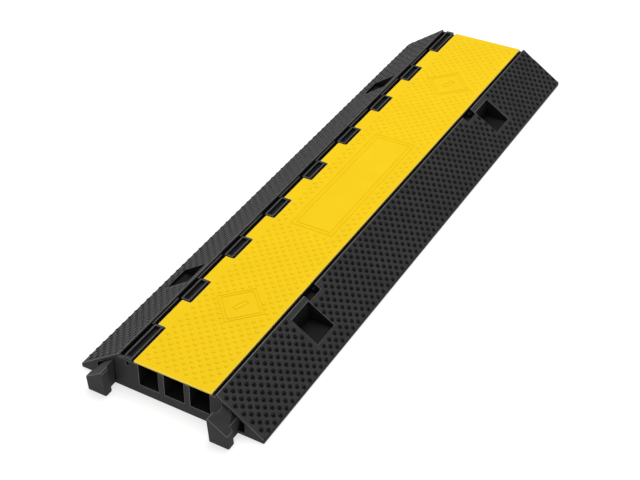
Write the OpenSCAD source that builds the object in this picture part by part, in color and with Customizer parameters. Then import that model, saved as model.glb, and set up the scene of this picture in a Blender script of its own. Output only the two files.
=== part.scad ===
// Three-channel cable protector ramp: a rubber base with a ramp face on each
// side, a hinged lid over the channels, and connector lugs and sockets that join
// one ramp to the next.  The ramp faces and the lid are plain here, without their
// round studs.  Origin: middle of the base's footprint, on the floor.  +X across
// the ramp away from the hinge, +Y along the cables, +Z up.

/* [Base] */
// Length of the base along the cables
base_len = 900; // [700:10:1000]
// Width of the base across the traffic lane's direction
base_w = 280; // [260:2:320]
// Height of the two ridges above the floor
base_h = 50; // [50:0.5:51]
// Height of the upright lip at each ramp's foot
lip_h = 6; // [4:0.5:9]
// Distance of each ridge from the middle
ridge_x = 75; // [74.5:0.1:77]
// How far the near end face's foot stands out past its top edge
end_draft = 2.5; // [0:0.5:3]
// The same between the connectors, below the channels
mid_draft = 5; // [3:0.5:5.5]

/* [Channels] */
// Width of one cable channel
channel_w = 30; // [26:1:30]
// Thickness of the walls between channels
divider_w = 9; // [8:0.5:9]
// Left edge of the first channel
channel_x0 = -44; // [-44:0.5:-42]
// Height of the channel floor above the ground
channel_floor = 14; // [11:0.5:16]

/* [Lid] */
// Thickness of the lid's plate
lid_t = 2.8; // [2.4:0.1:4]
// Drop from the ridges to the lid's top face
lid_drop = 1.3; // [1:0.1:2]
// Right edge of the lid
lid_right = 67.1; // [66.5:0.1:67.5]
// Left edge of the lid between the hinge tabs
lid_left = -63.9; // [-64.2:0.1:-63]
// Left edge of the lid inside the notches
notch_left = -50.5; // [-51:0.1:-49]
// Height of the ribs under the lid
rib_h = 3; // [2:0.5:4]

/* [Hinge] */
// Diameter of the hinge rod
rod_d = 5; // [4:0.5:5]
// Height of the hinge axis above the floor
axis_z = 40.5; // [40:0.5:41]
// Radius of the lid's hinge barrels
barrel_r = 5.5; // [5:0.1:5.7]
// Length of the base's two end tabs
end_tab_len = 67.9; // [60:0.1:75]
// Length of a base tab between two lid barrels
tab_len = 45.1; // [38:0.1:50]
// Gap along the rod between a base tab and a lid barrel
tab_gap = 1.5; // [1:0.1:2]

/* [Connectors] */
// Distance of each connector's neck from the middle
lug_x = 93; // [92:0.5:94]
// Width of a connector's head
lug_w = 29.5; // [28.5:0.5:31]
// Reach of the connectors past the near end
lug_reach = 30.5; // [29:0.5:32]
// Clearance of the sockets around the connectors
socket_gap = 1; // [0.8:0.1:1.5]

/* [Anchor pockets] */
// Distance of each anchor pocket's centre from mid-length
pocket_y = 270.5; // [260:0.5:280]
// Length of an anchor pocket along the ramp
pocket_len = 41.5; // [38:0.5:44]
// Width of an anchor pocket
pocket_w = 38; // [34:0.5:38]
// Height of the pocket floor above the ground
pocket_floor = 14.5; // [11:0.5:17]

/* [Hidden] */

rubber = [0.13, 0.13, 0.135];
yellow = [0.98, 0.80, 0.08];
steel = [0.62, 0.63, 0.65];

half_len = base_len / 2;
half_w = base_w / 2;
past = 1;                      // how far a cut runs past the face it opens
above = 20;                    // height of a cut that is open above

// cross-section
ridge_round = 1.5;             // radius of the ridges
wall_left = -ridge_x + 1.2;    // inner faces of the two ridges
wall_right = ridge_x - 2.4;
slope = atan2(base_h - lip_h, half_w - ridge_x);
lid_top = base_h - lid_drop;
lid_under = lid_top - lid_t;
seat_z = lid_under - 0.2;      // the ledges and dividers that carry the lid
channels = 3;
channel_pitch = channel_w + divider_w;

// hinge
axis_x = -61;
barrels = 8;
run_gap = 0.08;                // radial clearance of the rod in the lid
fit_gap = 0.03;                // radial clearance of the rod in the base
tab_x0 = -67.2;                // sides of the base's tabs
tab_x1 = -54.4;
tab_top = base_h - 0.5;
bay_len = (base_len - 2 * end_tab_len - (barrels - 1) * tab_len) / barrels;
barrel_len = bay_len - 2 * tab_gap;
tab_pitch = bay_len + tab_len;
sweep_r = 9.4;                 // clears the lid's edge as it turns
trough_wall = 2.2;             // walls around the hollow in each tab
trough_floor = axis_z + rod_d / 2 + 1.5;
groove_floor = 36;             // hollow between the left ridge and the tabs
groove_end = 3.5;              // wall that closes each end of the groove
screen_x = -71;                // thin wall between groove and barrel bay
screen_t = 1.6;
screen_top = 47.5;
rod_inset = 6;                 // depth of a plugged end of the rod's bore
plug_head = 1;                 // rounded end of a plug
plug_sunk = 2;                 // from the end face to the plug's domed face

// lid
lid_end_gap = 0.3;             // from the lid's end to the base's end face
notch_round = 2.5;             // rounded inner corners of the hinge notches
rib_t = 2.5;
rib_side_gap = 2;              // between a cross rib and the channel's walls
rib_rows = 17;
rib_root = 0.5;                // how far the ribs run up into the plate
edge_groove_w = 4.6;           // groove in the base beside the lid's free edge
edge_groove_floor = 39;
edge_groove_end = 4;

// connectors
neck_w = 18.5;
neck_len = 17;                 // from the end face to the head's back
head_front_round = 2;          // rounded corners of the head, seen from above
head_back_round = 3.5;
neck_fillet = 2;               // hollow corners between the neck and the head
lug_drop = 6;                  // lug's top below the ramp face
lug_root = 6;                  // how far the neck runs into the base behind the relief
lug_skin = 5;                  // ramp skin over the sockets and reliefs
lug_bevel = 6;
relief_depth = 9;              // scoop in the end face, on the neck's outer side
relief_floor = 4;
relief_in = 11;                // sides of the relief, from the neck's middle
relief_out = 19.5;

// end faces between the connectors
toe_x = lug_x;                 // where the two leans meet, behind the necks
nest_gap = 0.5;                // room for the next ramp's foot under the far end

// pocket and finger notch
pocket_x = 100;
notch_y0 = 221;
notch_y1 = 248;
notch_x0 = 66;
notch_x1 = 82.5;
notch_floor = 34;

// coring under the base
cell_l = 50;
cell_w = 44;
cell_pitch = 62;
cell_rows = 13;
cell_cols = [-100, -28, 28, 100];
cell_depth = 4;

function arc(x, z, r, a0, a1, n) =
    [for (i = [0:n]) let (a = a0 + (a1 - a0) * i / n) [x + r * cos(a), z + r * sin(a)]];

function ramp_z(x) = base_h - (abs(x) - ridge_x) * tan(slope);

// a flat outline drawn in X and Z, run along Y from y0 to y1
module along(y0, y1) {
    translate([0, y1, 0]) rotate([90, 0, 0]) linear_extrude(height = y1 - y0) children();
}

module block(x0, x1, y0, y1, z0, z1) {
    translate([x0, y0, z0]) cube([x1 - x0, y1 - y0, z1 - z0]);
}

module both_sides() {
    children();
    mirror([1, 0, 0]) children();
}

module both_ends() {
    children();
    mirror([0, 1, 0]) children();
}

// right half of the base's section: foot, lip, slope and rounded ridge
module half_section(inner_x) {
    lip_r = 1.2;
    chamfer = 0.8;
    foot = arc(half_w - lip_r, lip_h - lip_r * tan(45 - slope / 2), lip_r, 0, 90 - slope, 3);
    crest = arc(inner_x + ridge_round, base_h - ridge_round, ridge_round, 90 - slope, 180, 5);
    polygon(concat([[0, 0], [half_w - chamfer, 0], [half_w, chamfer]], foot, crest,
                   [[0, base_h - ridge_round]]));
}

module base_section() {
    half_section(wall_right);
    mirror([1, 0]) half_section(-wall_left);
}

function tab_y(i) = (i - barrels / 2) * tab_pitch;
function barrel_y(i) = (i - (barrels - 1) / 2) * tab_pitch;

// the tabs that hold the rod: one at each end and one between every two barrels
module tabs() {
    for (i = [1:barrels - 1])
        block(tab_x0, tab_x1, tab_y(i) - tab_len / 2, tab_y(i) + tab_len / 2, channel_floor, tab_top);
    both_ends()
        block(tab_x0, tab_x1, half_len - end_tab_len, half_len, channel_floor, tab_top);
}

// closed ends of the groove, and the thin screens beside the barrel bays
module groove_walls() {
    both_ends()
        block(wall_left, tab_x0, half_len - groove_end, half_len, channel_floor, screen_top);
    for (i = [0:barrels - 1])
        block(screen_x - screen_t, screen_x, barrel_y(i) - bay_len / 2, barrel_y(i) + bay_len / 2,
              channel_floor, screen_top);
}

// hollows in the tops of the tabs
module troughs() {
    for (i = [1:barrels - 1])
        block(tab_x0 + trough_wall, tab_x1 - trough_wall, tab_y(i) - tab_len / 2 + trough_wall,
              tab_y(i) + tab_len / 2 - trough_wall, trough_floor, base_h + above);
    both_ends()
        block(tab_x0 + trough_wall, tab_x1 - trough_wall, half_len - end_tab_len + trough_wall,
              half_len - 2 * trough_wall, trough_floor, base_h + above);
}

// room for the lid's barrels, and the groove behind the tabs
module hinge_bays() {
    for (i = [0:barrels - 1]) {
        y0 = barrel_y(i) - bay_len / 2;
        translate([axis_x, y0, axis_z]) rotate([-90, 0, 0]) cylinder(r = sweep_r, h = bay_len, $fn = 64);
        block(screen_x, axis_x + sweep_r, y0, y0 + bay_len, axis_z, base_h + above);
        block(wall_left, screen_x - screen_t, y0 - past, y0 + bay_len + past, axis_z, base_h + above);
    }
    for (i = [1:barrels - 1])
        block(wall_left, tab_x0, tab_y(i) - tab_len / 2, tab_y(i) + tab_len / 2, groove_floor, base_h + above);
    both_ends()
        block(wall_left, tab_x0, half_len - end_tab_len, half_len - groove_end, groove_floor, base_h + above);
}

module rod_bore() {
    translate([axis_x, -half_len - lug_reach, axis_z]) rotate([-90, 0, 0])
        cylinder(d = rod_d + 2 * fit_gap, h = base_len + 2 * lug_reach, $fn = 48);
}

module channels_cut() {
    for (i = [0:channels - 1])
        block(channel_x0 + i * channel_pitch, channel_x0 + i * channel_pitch + channel_w,
              -half_len - lug_reach, half_len + lug_reach, channel_floor, base_h + above);
}

// groove beside the lid's free edge, closed at both ends
module edge_groove() {
    block(wall_right - edge_groove_w, wall_right, -half_len + edge_groove_end, half_len - edge_groove_end,
          edge_groove_floor, base_h + above);
}

module finger_notches() {
    both_ends() block(notch_x0, notch_x1, notch_y0, notch_y1, notch_floor, base_h + above);
}

module anchor_pockets() {
    both_ends() both_sides()
        block(pocket_x - pocket_w / 2, pocket_x + pocket_w / 2, pocket_y - pocket_len / 2,
              pocket_y + pocket_len / 2, pocket_floor, base_h + above);
}

// region under a plane that follows the right-hand ramp, `drop` below it
module under_ramp(drop, x0, x1, y0, y1) {
    along(y0, y1) polygon([[x0, -past], [x1, -past], [x1, ramp_z(x1) - drop], [x0, ramp_z(x0) - drop]]);
}

// T-shaped connector seen from above: neck from y = 0 to -neck_len, head beyond
// it.  A socket is the same shape with a gap all round.
module tee(gap) {
    w = lug_w / 2 + gap;
    back = -neck_len + gap;
    front = -lug_reach - gap;
    side = neck_w / 2 + gap;
    lap = 0.5;
    front_r = head_front_round + gap;
    back_r = head_back_round + gap;
    fillet = neck_fillet - gap;
    translate([-side, back - lap]) square([2 * side, -back + lap + gap]);
    translate([-w + front_r, front]) square([2 * (w - front_r), back_r]);
    translate([-w, front + front_r]) square([2 * w, back - front - front_r - back_r]);
    translate([-w + back_r, back - back_r - lap]) square([2 * (w - back_r), back_r + lap]);
    for (s = [0, 1]) mirror([s, 0]) {
        translate([w - front_r, front + front_r]) circle(r = front_r, $fn = 32);
        translate([w - back_r, back - back_r]) circle(r = back_r, $fn = 32);
        translate([side - lap, back - lap]) difference() {
            square(fillet + lap);
            translate([fillet + lap, fillet + lap]) circle(r = fillet, $fn = 32);
        }
    }
}

module lug() {
    root = relief_depth + lug_root;
    intersection() {
        difference() {
            translate([lug_x, -half_len, 0]) linear_extrude(height = base_h)
                union() {
                    tee(0);
                    translate([-neck_w / 2, -past]) square([neck_w, root + past]);
                }
            // bevel along the head's inner top edge
            translate([lug_x - lug_w / 2, -half_len, ramp_z(lug_x - lug_w / 2) - lug_drop])
                rotate([0, 45, 0]) cube([lug_bevel, 4 * lug_reach, lug_bevel], center = true);
        }
        under_ramp(lug_drop, ridge_x - 5, half_w, -half_len - 2 * lug_reach, -half_len + root);
    }
}

// scooped relief beside each neck in the near end face
module lug_relief() {
    x0 = lug_x - relief_in;
    x1 = lug_x + relief_out;
    r = relief_depth;
    intersection() {
        translate([0, -half_len, relief_floor]) linear_extrude(height = base_h)
            union() {
                translate([x0 + r, -2 * r]) square([x1 - x0 - 2 * r, 3 * r]);
                translate([x0, -2 * r]) square([x1 - x0, 2 * r]);
                for (x = [x0 + r, x1 - r]) translate([x, 0]) circle(r = r, $fn = 48);
            }
        under_ramp(lug_skin, x0 - past, half_w, -half_len - 3 * r, -half_len + 3 * r);
    }
}

// socket in the far end, open below, that drops over the next ramp's lug
module lug_socket() {
    intersection() {
        translate([lug_x, half_len, -past]) linear_extrude(height = base_h)
            union() {
                tee(socket_gap);
                translate([-neck_w / 2 - socket_gap, -past]) square([neck_w + 2 * socket_gap, 3 * past]);
            }
        under_ramp(lug_skin, ridge_x - 5, half_w, half_len - 2 * lug_reach, half_len + lug_reach);
    }
}

module underside_cells() {
    for (i = [0:cell_rows - 1], x = cell_cols)
        translate([x - cell_w / 2, (i - (cell_rows - 1) / 2) * cell_pitch - cell_l / 2, -past])
            cube([cell_w, cell_l, cell_depth + past]);
}

// everything past an end face that leans by its draft, between x0 and x1
module past_end(y, draft, x0, x1) {
    big = 3 * base_h;
    translate([x0, y, base_h]) rotate([-atan2(draft, base_h), 0, 0])
        translate([0, y < 0 ? -big : 0, -2 * big]) cube([x1 - x0, big, 3 * big]);
}

// both end faces lean the same way, so that one ramp's end nests in the next
module past_both_ends() {
    past_end(-half_len, mid_draft, -toe_x, toe_x);
    past_end(half_len, mid_draft + nest_gap, -toe_x - nest_gap, toe_x + nest_gap);
    for (y = [-half_len, half_len]) both_sides() past_end(y, end_draft, toe_x, base_w);
}

module base_body() {
    difference() {
        union() {
            difference() {
                along(-half_len - mid_draft, half_len) base_section();
                block(wall_left, wall_right, -half_len - past - mid_draft, half_len + past,
                      seat_z, base_h + above);
            }
            tabs();
            groove_walls();
        }
        past_both_ends();
        both_sides() lug_relief();
    }
}

module base() {
    color(rubber) difference() {
        union() {
            base_body();
            both_sides() lug();
        }
        hinge_bays();
        troughs();
        rod_bore();
        channels_cut();
        edge_groove();
        finger_notches();
        anchor_pockets();
        both_sides() lug_socket();
        underside_cells();
    }
}

// lid outline seen from above, with a notch for each base tab
module lid_outline() {
    r = notch_round;
    difference() {
        translate([lid_left, -half_len + lid_end_gap])
            square([lid_right - lid_left, base_len - 2 * lid_end_gap]);
        for (i = [0:barrels]) {
            inner = i > 0 && i < barrels;
            len = (inner ? tab_len : 2 * end_tab_len) + 2 * tab_gap;
            y = inner ? tab_y(i) : (i == 0 ? -half_len : half_len);
            translate([lid_left - past, y - len / 2]) square([notch_left - r - lid_left + past, len]);
            translate([lid_left - past, y - len / 2 + r])
                square([notch_left - lid_left + past, len - 2 * r]);
            for (s = [-1, 1]) translate([notch_left - r, y + s * (len / 2 - r)]) circle(r = r, $fn = 32);
        }
    }
}

module lid_barrel(y) {
    translate([axis_x, y - barrel_len / 2, axis_z]) rotate([-90, 0, 0])
        cylinder(r = barrel_r, h = barrel_len, $fn = 64);
    block(lid_left, axis_x + barrel_r, y - barrel_len / 2, y + barrel_len / 2, axis_z, lid_under + past);
}

// stiffening ribs that hang in the channels
module lid_ribs() {
    rib_w = channel_w - 2 * rib_side_gap;
    rib_pitch = tab_pitch / 2;
    reach = (rib_rows - 1) / 2 * rib_pitch;
    for (c = [0:channels - 1]) {
        x = channel_x0 + channel_w / 2 + c * channel_pitch;
        for (i = [0:rib_rows - 1])
            block(x - rib_w / 2, x + rib_w / 2, i * rib_pitch - reach - rib_t / 2,
                  i * rib_pitch - reach + rib_t / 2, lid_under - rib_h, lid_under + rib_root);
        block(x - rib_t / 2, x + rib_t / 2, -reach, reach, lid_under - rib_h, lid_under + rib_root);
    }
}

module lid() {
    color(yellow) difference() {
        union() {
            translate([0, 0, lid_under]) linear_extrude(height = lid_t) lid_outline();
            for (i = [0:barrels - 1]) lid_barrel(barrel_y(i));
            lid_ribs();
        }
        translate([axis_x, -half_len, axis_z]) rotate([-90, 0, 0])
            cylinder(d = rod_d + 2 * run_gap, h = base_len, $fn = 48);
    }
}

module hinge_rod() {
    color(steel) translate([axis_x, -half_len + rod_inset, axis_z]) rotate([-90, 0, 0])
        cylinder(d = rod_d, h = base_len - 2 * rod_inset, $fn = 48);
}

// plug pressed into the rod's bore behind the rod's end, with a domed face
module rod_plug() {
    r = rod_d / 2;
    face = rod_inset - plug_sunk;
    color(rubber) translate([axis_x, half_len - rod_inset, axis_z]) rotate([-90, 0, 0])
        rotate_extrude($fn = 48)
            polygon(concat([[0, 0], [r, 0]], arc(r - plug_head, face - plug_head, plug_head, 0, 90, 5),
                           [[0, face]]));
}

module rod_plug_far() {
    rod_plug();
}

module rod_plug_near() {
    mirror([0, 1, 0]) rod_plug();
}

base();
lid();
hinge_rod();
rod_plug_near();
rod_plug_far();
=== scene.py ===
import math
import bmesh
import bpy
import numpy as np
from mathutils import Matrix, Vector


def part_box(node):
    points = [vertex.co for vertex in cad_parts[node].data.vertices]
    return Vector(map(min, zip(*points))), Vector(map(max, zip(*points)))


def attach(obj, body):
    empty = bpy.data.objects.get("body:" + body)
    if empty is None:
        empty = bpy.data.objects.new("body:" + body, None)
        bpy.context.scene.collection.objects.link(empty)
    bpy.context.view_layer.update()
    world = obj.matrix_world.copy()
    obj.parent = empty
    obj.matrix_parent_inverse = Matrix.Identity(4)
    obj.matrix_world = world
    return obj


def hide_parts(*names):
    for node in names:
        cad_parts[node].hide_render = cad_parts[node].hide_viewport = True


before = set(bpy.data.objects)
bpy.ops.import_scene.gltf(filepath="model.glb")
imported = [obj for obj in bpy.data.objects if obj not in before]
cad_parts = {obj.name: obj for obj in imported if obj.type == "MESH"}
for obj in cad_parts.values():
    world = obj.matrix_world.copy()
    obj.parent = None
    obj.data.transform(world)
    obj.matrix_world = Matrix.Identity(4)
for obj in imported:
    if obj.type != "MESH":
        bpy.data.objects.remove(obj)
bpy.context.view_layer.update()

MM = 0.001

# the ramp's own measures in millimetres, as in the CAD source
HALF_LEN = 450.0
HALF_W = 140.0
TOP = 50.0
LIP = 6.0
RIDGE_X = 75.0
SLOPE = math.atan2(TOP - LIP, HALF_W - RIDGE_X)
POCKET_X, POCKET_Y = 100.0, 270.5
POCKET_W, POCKET_LEN = 38.0, 41.5
NOTCH_Y0, NOTCH_Y1, NOTCH_X1 = 221.0, 248.0, 82.5
LID_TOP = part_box("lid")[1].z / MM

MERGE = 2e-6                   # vertices of the CAD mesh closer than this are one
FLAT = math.radians(0.4)       # faces that turn less than this are merged
SHARP = math.radians(24)       # edges that turn more than this are rounded or kept sharp
BLEND = math.radians(50)       # how far a rounding's facet may turn from the face it blends into
# slots: plain faces; rounded edges in a lighter material, a painted highlight; hollows and feet in a darker
# one, painted shade
PLAIN_SLOT, EDGE_HIGHLIGHT_SLOT, SHADE_SLOT = 0, 1, 2


# ---------------------------------------------------------------- meshes
def new_object(name, mesh, materials, body):
    piece = bpy.data.objects.new(name, mesh)
    bpy.context.scene.collection.objects.link(piece)
    for material in materials:
        mesh.materials.append(material)
    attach(piece, body)
    return piece


def corner_normal(face, vert, rounding):
    """Shading normal of a face's corner: flat faces stay flat and a rounding blends into them."""
    limit = math.cos(BLEND if face in rounding else SHARP)
    around = [other for other in vert.link_faces if other.normal.dot(face.normal) > limit]
    flat = [other for other in around if other not in rounding]
    normal = Vector()
    for other in flat or around:
        normal += other.normal * other.calc_area()
    return normal.normalized()


def rounded(node, name, width, materials, body, pick=None):
    """A copy of a CAD node with its outward edges rounded, kept inside the node's own box.

    The materials are for the plain faces, the rounded edges (lighter: a painted highlight) and the
    hollows (darker: painted shade); pick() may change which one a face gets.
    """
    bm = bmesh.new()
    bm.from_mesh(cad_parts[node].data)
    bmesh.ops.remove_doubles(bm, verts=bm.verts, dist=MERGE)
    bmesh.ops.dissolve_limit(
        bm, angle_limit=FLAT, use_dissolve_boundaries=False,
        verts=bm.verts, edges=bm.edges)
    # a large many-sided face would fold over itself where the rounding cuts its outline back
    bmesh.ops.triangulate(bm, faces=bm.faces)
    low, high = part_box(node)
    outward = [edge for edge in bm.edges if edge.calc_face_angle_signed(0.0) > SHARP]
    rounding = set(bmesh.ops.bevel(
        bm, geom=outward, offset=width * MM, offset_type="OFFSET", segments=2, profile=0.5,
        affect="EDGES", clamp_overlap=False)["faces"])
    for vert in bm.verts:
        vert.co = [min(max(vert.co[k], low[k]), high[k]) for k in range(3)]
    bm.normal_update()
    normals = []
    for face in bm.faces:
        face.smooth = True
        # rounded edges take the lighter material, a painted highlight
        face.material_index = EDGE_HIGHLIGHT_SLOT if face in rounding else PLAIN_SLOT
        if pick:
            face.material_index = pick(face.calc_center_median() / MM, face.material_index)
        normals.extend(corner_normal(face, vert, rounding) for vert in face.verts)
    mesh = bpy.data.meshes.new(name)
    bm.to_mesh(mesh)
    bm.free()
    mesh.normals_split_custom_set(normals)
    piece = new_object(name, mesh, materials, body)
    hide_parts(node)
    return piece


def turned(profile, segments):
    """A closed turned solid; the profile runs from the outer foot to the top."""
    points = []
    for radius, height in profile:
        for i in range(segments):
            a = 2 * math.pi * i / segments
            points.append((radius * math.cos(a), radius * math.sin(a), height))
    faces = [tuple(range(segments))[::-1]]
    for ring in range(len(profile) - 1):
        low, high = ring * segments, (ring + 1) * segments
        for i in range(segments):
            j = (i + 1) % segments
            faces.append((low + i, low + j, high + j, high + i))
    faces.append(tuple((len(profile) - 1) * segments + i for i in range(segments)))
    return np.array(points), faces


def raised_line(corners, width, height):
    """A low closed band with sloping sides that follows a closed outline, mitred at its corners."""
    section = [(-0.5, -0.3), (-0.5, 0.15), (-0.22, 1.0), (0.22, 1.0), (0.5, 0.15), (0.5, -0.3)]
    points, faces = [], []
    count, rows = len(corners), len(section)
    for i in range(count):
        here = Vector(corners[i])
        ahead = (Vector(corners[(i + 1) % count]) - here).normalized()
        behind = (here - Vector(corners[i - 1])).normalized()
        left_a, left_b = Vector((-ahead.y, ahead.x)), Vector((-behind.y, behind.x))
        mitre = (left_a + left_b) / (1 + left_a.dot(left_b))
        for across, up in section:
            spot = here + mitre * across * width
            points.append((spot.x, spot.y, up * height))
    for i in range(count):
        j = (i + 1) % count
        for k in range(rows):
            m = (k + 1) % rows
            faces.append((i * rows + k, j * rows + k, j * rows + m, i * rows + m))
    return np.array(points), faces


def mesh_of(name, parts, smooth):
    """One mesh from several (points in millimetres, faces) parts."""
    vertices, faces = [], []
    for points, part_faces in parts:
        start = len(vertices)
        vertices.extend((points * MM).tolist())
        faces.extend(tuple(start + k for k in face) for face in part_faces)
    mesh = bpy.data.meshes.new(name)
    mesh.from_pydata(vertices, [], faces)
    mesh.polygons.foreach_set("use_smooth", [smooth] * len(faces))
    mesh.update()
    return mesh


def copies(shape, places, rotation):
    """The shape at every place, turned by the rotation."""
    points, faces = shape
    turned_points = points @ np.array(rotation.to_3x3()).T
    return [(turned_points + np.array(place), faces) for place in places]


# ---------------------------------------------------------------- materials
class Nodes:
    """A material's node tree, with short names for the nodes used here."""

    def __init__(self, name):
        self.material = bpy.data.materials.new(name)
        self.material.use_nodes = True
        self.tree = self.material.node_tree
        self.shader = self.tree.nodes["Principled BSDF"]
        self.place = self.add("ShaderNodeTexCoord").outputs["Object"]

    def add(self, kind, **values):
        node = self.tree.nodes.new(kind)
        for key, value in values.items():
            if hasattr(node, key):
                setattr(node, key, value)
            else:
                node.inputs[key].default_value = value
        return node

    def link(self, a, b):
        self.tree.links.new(a, b)

    def noise(self, scale, detail=3.0, rough=0.55):
        node = self.add("ShaderNodeTexNoise", Scale=scale, Detail=detail, Roughness=rough)
        self.link(self.place, node.inputs["Vector"])
        return node.outputs["Fac"]

    def span(self, value, low, high, out_low, out_high):
        node = self.add("ShaderNodeMapRange")
        self.link(value, node.inputs["Value"])
        for key, number in (("From Min", low), ("From Max", high), ("To Min", out_low), ("To Max", out_high)):
            node.inputs[key].default_value = number
        return node.outputs["Result"]

    def mix(self, factor, a, b):
        node = self.add("ShaderNodeMix", data_type="RGBA")
        self.link(factor, node.inputs["Factor"])
        for key, value in (("A", a), ("B", b)):
            socket = next(s for s in node.inputs if s.name == key and s.type == "RGBA")
            if hasattr(value, "is_output"):
                self.link(value, socket)
            else:
                socket.default_value = (*value, 1.0)
        return next(s for s in node.outputs if s.type == "RGBA")

    def bump(self, height, strength, distance, normal=None):
        node = self.add("ShaderNodeBump", Strength=strength, Distance=distance)
        self.link(height, node.inputs["Height"])
        if normal is not None:
            self.link(normal, node.inputs["Normal"])
        return node.outputs["Normal"]


def scaled(shade, factor):
    return [c * factor for c in shade]


def rubber(name, shade, roughness, specular, grain):
    """Moulded black rubber: cloudy tone, fine grain and small pale specks."""
    m = Nodes(name)
    cloudy = m.noise(38.0, 4.0)
    fine = m.noise(700.0, 3.0, 0.6)
    grainy = m.noise(2600.0, 2.0, 0.6)
    colour = m.mix(m.span(cloudy, 0.35, 0.68, 0.0, 1.0), scaled(shade, 0.85), scaled(shade, 1.15))
    colour = m.mix(m.span(fine, 0.5, 0.8, 0.0, 0.6), colour, scaled(shade, 1.7))
    m.link(colour, m.shader.inputs["Base Color"])
    m.link(m.span(cloudy, 0.3, 0.7, roughness - 0.05, roughness + 0.05), m.shader.inputs["Roughness"])
    normal = m.bump(fine, 0.3 * grain, 0.0003)
    normal = m.bump(grainy, 0.2 * grain, 0.0001, normal)
    m.link(normal, m.shader.inputs["Normal"])
    m.shader.inputs["Specular IOR Level"].default_value = specular
    return m.material


def plastic(name, shade, scuffed, roughness, specular):
    """Satin moulded plastic with a fine orange-peel surface and faint scuffs."""
    m = Nodes(name)
    cloudy = m.noise(26.0, 4.0)
    fine = m.noise(1400.0, 2.0, 0.5)
    scuffs = m.noise(160.0, 5.0, 0.7)
    colour = m.mix(m.span(cloudy, 0.35, 0.65, 0.0, 1.0), scaled(shade, 0.97), shade)
    colour = m.mix(m.span(scuffs, 0.6, 0.8, 0.0, 0.25), colour, scuffed)
    m.link(colour, m.shader.inputs["Base Color"])
    m.link(m.span(scuffs, 0.3, 0.75, roughness, roughness + 0.15), m.shader.inputs["Roughness"])
    m.link(m.bump(fine, 0.15, 0.0001), m.shader.inputs["Normal"])
    m.shader.inputs["Specular IOR Level"].default_value = specular
    return m.material


def steel(name):
    """Drawn steel with streaks along Y and a few dull spots."""
    m = Nodes(name)
    drawn = m.add("ShaderNodeMapping")
    m.link(m.place, drawn.inputs["Vector"])
    drawn.inputs["Scale"].default_value = (1.0, 0.02, 1.0)
    streaks = m.add("ShaderNodeTexNoise", Scale=3000.0, Detail=3.0)
    m.link(drawn.outputs["Vector"], streaks.inputs["Vector"])
    spots = m.noise(120.0, 4.0)
    colour = m.mix(m.span(spots, 0.5, 0.75, 0.0, 1.0), (0.55, 0.56, 0.58), (0.30, 0.27, 0.24))
    m.link(colour, m.shader.inputs["Base Color"])
    m.link(m.span(streaks.outputs["Fac"], 0.3, 0.7, 0.25, 0.45), m.shader.inputs["Roughness"])
    m.link(m.bump(streaks.outputs["Fac"], 0.2, 0.00005), m.shader.inputs["Normal"])
    m.shader.inputs["Metallic"].default_value = 1.0
    return m.material


RUBBER = rubber("rubber", (0.032, 0.032, 0.0325), 0.66, 0.14, 1.0)
# lighter rubber for the rounded edges: a painted highlight; its lower roughness and higher specular are real
# gloss
EDGE_HIGHLIGHT_RUBBER = rubber("edge_rubber_painted_highlight", (0.10, 0.10, 0.102), 0.36, 0.6, 0.4)
# darker rubber for hollows and foot faces: painted shade; its lower roughness is real
SMOOTH_SHADE_PAINTED_RUBBER = rubber("smooth_rubber_painted_shade", (0.010, 0.010, 0.0103), 0.5, 0.08, 0.4)
# near-black studs: painted shade for their dark sides and shadows; their glints come from the light
STUD_SHADE_RUBBER = rubber("stud_rubber_painted_shade", (0.0009, 0.0009, 0.001), 0.15, 0.14, 0.15)
PLUG_RUBBER = rubber("plug_rubber", (0.05, 0.05, 0.052), 0.5, 0.4, 0.6)
YELLOW = plastic("yellow_plastic", (0.90, 0.60, 0.002), (0.92, 0.66, 0.05), 0.38, 0.1)
# paler yellow for the lid's rounded edges: a painted highlight
YELLOW_EDGE_HIGHLIGHT = plastic("yellow_edge_painted_highlight", (0.98, 0.93, 0.34), (0.95, 0.82, 0.25), 0.32, 0.4)
STEEL = steel("steel")


# ---------------------------------------------------------------- base, lid and hinge
UNDERSIDE, AT_END, AT_FOOT, AT_RIDGE = 1.0, 0.5, 1.5, 0.5    # how far in from each outer face
SEAT_DEPTH, SKIN_DEPTH = 3.0, 1.2      # a face lower than this below the ridges or a ramp is in a hollow


def base_slot(spot, usual):
    """Material slot of a face of the base: the hollows and the feet get darker, smoother rubber, painted
    shade.
    """
    x, y, z = spot
    # foot faces and faces deep in a hollow take the darker rubber: painted shade
    if abs(x) > HALF_W - AT_FOOT:
        return SHADE_SLOT
    if z < UNDERSIDE or abs(y) > HALF_LEN - AT_END:
        return usual
    depth = TOP - z
    if abs(x) < RIDGE_X - AT_RIDGE:
        return SHADE_SLOT if depth > SEAT_DEPTH else usual
    depth -= (abs(x) - RIDGE_X) * math.tan(SLOPE)
    return SHADE_SLOT if depth > SKIN_DEPTH else usual


rounded("base", "rubber_base", 0.5, (RUBBER, EDGE_HIGHLIGHT_RUBBER, SMOOTH_SHADE_PAINTED_RUBBER), "base", base_slot)
rounded("lid", "hinged_lid", 0.35, (YELLOW, YELLOW_EDGE_HIGHLIGHT), "lid")

for node, material in (("hinge_rod", STEEL), ("rod_plug_near", PLUG_RUBBER), ("rod_plug_far", PLUG_RUBBER)):
    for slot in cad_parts[node].material_slots:
        slot.material = material

# ---------------------------------------------------------------- studs on the ramps
STUD = turned([(3.15, -0.6), (3.05, 0.45), (2.6, 0.95), (1.75, 1.25), (0.8, 1.35)], 14)
STUD_ROWS = 130
STUD_REACH = 443.4             # first and last row, from mid-length
STUD_FIRST = 4.2               # first column, from the ridge along the slope
STUD_STEP = 7.03               # between columns of neighbouring rows
STUD_COLUMNS = 11
STUD_CLEAR = 3.4               # from a stud's middle to the edge of a pocket or notch


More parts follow.
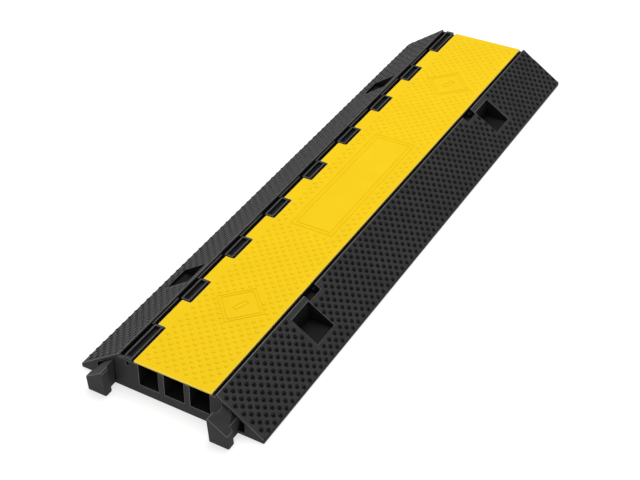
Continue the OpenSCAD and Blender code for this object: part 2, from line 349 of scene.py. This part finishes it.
def stud_places(side):
    places = []
    for row in range(STUD_ROWS + 1):
        y = -STUD_REACH + row * 2 * STUD_REACH / STUD_ROWS
        for column in range((row + 1) % 2, STUD_COLUMNS, 2):
            u = STUD_FIRST + column * STUD_STEP
            x = RIDGE_X + u * math.cos(SLOPE)
            in_pocket = (abs(x - POCKET_X) < POCKET_W / 2 + STUD_CLEAR
                         and abs(abs(y) - POCKET_Y) < POCKET_LEN / 2 + STUD_CLEAR)
            in_notch = (side > 0 and x < NOTCH_X1 + STUD_CLEAR
                        and NOTCH_Y0 - STUD_CLEAR < abs(y) < NOTCH_Y1 + STUD_CLEAR)
            if not in_pocket and not in_notch:
                places.append((side * x, y, TOP - u * math.sin(SLOPE)))
    return places


for side, name in ((1, "ramp_studs_right"), (-1, "ramp_studs_left")):
    studs = copies(STUD, stud_places(side), Matrix.Rotation(side * SLOPE, 4, "Y"))
    new_object(name, mesh_of(name, studs, True), [STUD_SHADE_RUBBER], "base")

# ---------------------------------------------------------------- relief on the lid
DOME = turned([(2.9, -0.4), (2.8, 0.0), (2.45, 0.58), (1.65, 1.0), (0.7, 1.17)], 12)
DOME_ROW = 6.94
DOME_ROWS = 63                 # on each side of mid-length
DOME_X0, DOME_STEP, DOME_COLUMNS = -42.5, 7.06, 15
DIAMOND_X, DIAMOND_Y = 9.5, 300.0
DIAMOND_R = 37.0               # half-diagonal
PANEL_X0, PANEL_X1, PANEL_Y = -24.7, 41.5, 123.0
MARGIN = 4.0                   # plain strip outside the frames
LINE_W, LINE_H = 1.4, 0.75
LINE_GAP = 6.0                 # from an outer frame to the inner one


def on_plain_lid(x, y):
    """Whether a spot on the lid is left smooth."""
    in_diamond = abs(x - DIAMOND_X) + abs(abs(y) - DIAMOND_Y) < DIAMOND_R + MARGIN
    in_panel = PANEL_X0 - MARGIN < x < PANEL_X1 + MARGIN and abs(y) < PANEL_Y + MARGIN
    return in_diamond or in_panel


def diamond(y, r):
    return [(DIAMOND_X + r, y), (DIAMOND_X, y + r), (DIAMOND_X - r, y), (DIAMOND_X, y - r)]


def rectangle(x0, x1, y0, y1):
    return [(x0, y0), (x1, y0), (x1, y1), (x0, y1)]


def slanted_bar(y):
    """A plain slanted bar, as a generic mark in the middle of a diamond."""
    long, short = Vector((4.0, 9.0)), Vector((3.0, -1.5))
    middle = Vector((DIAMOND_X, y))
    return [tuple(middle + v) for v in (long + short, long - short, -long - short, -long + short)]


dome_places = []
for row in range(-DOME_ROWS, DOME_ROWS + 1):
    for column in range(row % 2, DOME_COLUMNS, 2):
        x, y = DOME_X0 + column * DOME_STEP, row * DOME_ROW
        if not on_plain_lid(x, y):
            dome_places.append((x, y, LID_TOP))
new_object("lid_domes", mesh_of("lid_domes", copies(DOME, dome_places, Matrix.Identity(4)), True),
           [YELLOW], "lid")

frames = [rectangle(PANEL_X0 + d, PANEL_X1 - d, -PANEL_Y + d, PANEL_Y - d) for d in (0, LINE_GAP)]
for y in (-DIAMOND_Y, DIAMOND_Y):
    frames += [diamond(y, DIAMOND_R), diamond(y, DIAMOND_R - LINE_GAP), slanted_bar(y)]
lines = [raised_line(corners, LINE_W, LINE_H) for corners in frames]
lines = [(points + np.array((0, 0, LID_TOP)), faces) for points, faces in lines]
new_object("lid_frames", mesh_of("lid_frames", lines, False), [YELLOW], "lid")

# ---------------------------------------------------------------- floor, light and camera
FLOOR_HALF = 9.0
scene = bpy.context.scene
scene.view_settings.view_transform = "Standard"

floor_mesh = bpy.data.meshes.new("floor")
floor_mesh.from_pydata(
    [(x * FLOOR_HALF, y * FLOOR_HALF, 0) for x, y in ((-1, -1), (1, -1), (1, 1), (-1, 1))],
    [], [(0, 1, 2, 3)])
floor = bpy.data.objects.new("floor", floor_mesh)
scene.collection.objects.link(floor)
floor_paint = Nodes("floor_paint")
floor_paint.shader.inputs["Base Color"].default_value = (0.5, 0.5, 0.5, 1)
floor_paint.shader.inputs["Emission Color"].default_value = (1, 1, 1, 1)
floor_paint.shader.inputs["Emission Strength"].default_value = 0.62
floor_paint.shader.inputs["Specular IOR Level"].default_value = 0.0
floor_paint.shader.inputs["Roughness"].default_value = 0.9
floor_mesh.materials.append(floor_paint.material)

world = bpy.data.worlds.new("studio")
scene.world = world
world.use_nodes = True
world.node_tree.nodes["Background"].inputs["Color"].default_value = (1, 1, 1, 1)
world.node_tree.nodes["Background"].inputs["Strength"].default_value = 0.58


def softbox(name, location, target, size, power):
    light = bpy.data.lights.new(name, "AREA")
    light.shape = "RECTANGLE"
    light.size, light.size_y = size
    light.energy = power
    lamp = bpy.data.objects.new(name, light)
    scene.collection.objects.link(lamp)
    lamp.location = location
    lamp.rotation_euler = (Vector(target) - Vector(location)).to_track_quat("-Z", "Y").to_euler()


softbox("overhead", (-0.06, 0.36, 2.38), (0, 0, 0), (1.5, 1.5), 32)

camera = bpy.data.cameras.new("camera")
camera_object = bpy.data.objects.new("camera", camera)
scene.collection.objects.link(camera_object)
scene.camera = camera_object
CAMERA_LENS, CAMERA_SENSOR = 71.76, 36.0
camera.lens = CAMERA_LENS
camera.sensor_width = CAMERA_SENSOR
CAMERA_AT = Vector((0.7752, -1.2798, 1.1437))
CAMERA_AIM = Vector((0.0157, -0.1127, 0.025))
CAMERA_ROLL = math.radians(-3.4)
aim = (CAMERA_AIM - CAMERA_AT).to_track_quat("-Z", "Y").to_matrix()
camera_object.location = CAMERA_AT
camera_object.rotation_euler = (aim @ Matrix.Rotation(CAMERA_ROLL, 3, "Z")).to_euler()
